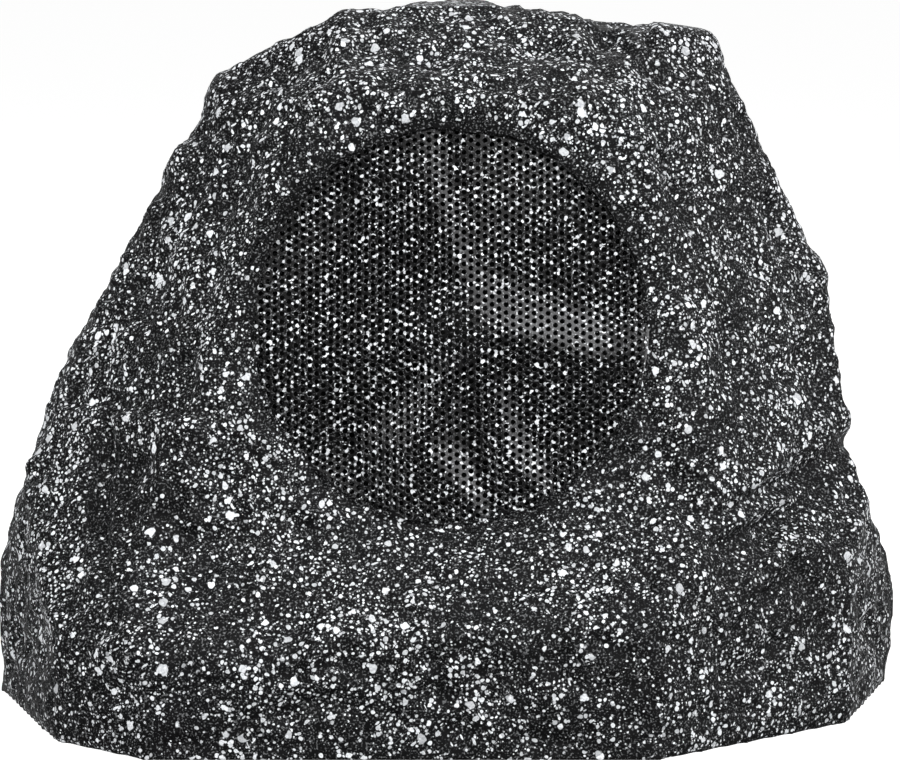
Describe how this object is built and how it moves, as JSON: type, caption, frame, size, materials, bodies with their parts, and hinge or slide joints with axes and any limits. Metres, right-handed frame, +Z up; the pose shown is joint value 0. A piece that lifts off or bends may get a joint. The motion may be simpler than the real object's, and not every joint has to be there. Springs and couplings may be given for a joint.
{
  "type": "rock-shaped garden loudspeaker",
  "caption": "Garden loudspeaker cast as a dark speckled boulder, with a folded round grille over a coaxial driver, sealed by a screwed base with a cable grommet.",
  "frame": {"origin": "on the ground under the middle of the rock's box", "axes": "+Z up, the grille faces -Y, +X to the right of someone who looks at the grille"},
  "size_m": [0.356, 0.304, 0.271],
  "materials": {
    "rock_cast": "cast resin, near-black grey with white spatter",
    "grille_sheet": "punched sheet, painted as the rock",
    "base_plastic": "moulded, fine grain",
    "foam_seal": "closed-cell foam",
    "screw_steel": "zinc plated",
    "grommet_rubber": "moulded rubber",
    "basket_paint": "black paint",
    "surround_rubber": "soft rubber",
    "cone_pulp": "coated cone",
    "former_foil": "rolled foil",
    "copper_wire": "enamelled copper winding",
    "spider_cloth": "phenolic cloth",
    "plated_steel": "zinc plated steel",
    "ferrite": "sintered ferrite",
    "fibre_board": "hard fibre",
    "tinned_brass": "tinned brass",
    "tweeter_plastic": "moulded, satin",
    "dome_film": "formed film",
    "circuit_board": "epoxy board",
    "capacitor_film": "wrapped film",
    "resistor_ceramic": "cement body",
    "terminal_plastic": "moulded",
    "lead_sheath": "flexible sheath"
  },
  "bodies": {
    "housing": {"rock_shell": "rock_cast", "grille": "grille_sheet", "base_plate": "base_plastic", "base_gasket": "foam_seal", "base_screws": "screw_steel", "cable_grommet": "grommet_rubber", "basket": "basket_paint", "woofer_gasket": "foam_seal", "woofer_screws": "screw_steel", "surround": "surround_rubber", "spider": "spider_cloth", "top_plate": "plated_steel", "magnet": "ferrite", "yoke": "plated_steel", "tag_strip": "fibre_board", "solder_tags": "tinned_brass", "tweeter_post": "tweeter_plastic", "tweeter_housing": "tweeter_plastic", "tweeter_magnet": "plated_steel", "tweeter_plate": "plated_steel", "tweeter_ring": "tweeter_plastic", "tweeter_dome": "dome_film", "tweeter_face": "tweeter_plastic", "crossover_board": "circuit_board", "crossover_screws": "screw_steel", "inductor": "copper_wire", "capacitor": "capacitor_film", "resistor": "resistor_ceramic", "terminal_block": "terminal_plastic", "driver_lead": "lead_sheath"},
    "moving_cone": {"cone": "cone_pulp", "coil_former": "former_foil", "voice_coil": "copper_wire"}
  },
  "joints": [
    {"name": "cone_travel", "type": "slide", "parent": "housing", "child": "moving_cone", "axis": [0, -0.9781, 0.2079], "range_m": [-0.004, 0.004], "stiffness_N_per_m": 1200, "deforming": ["surround", "spider"]}
  ]
}
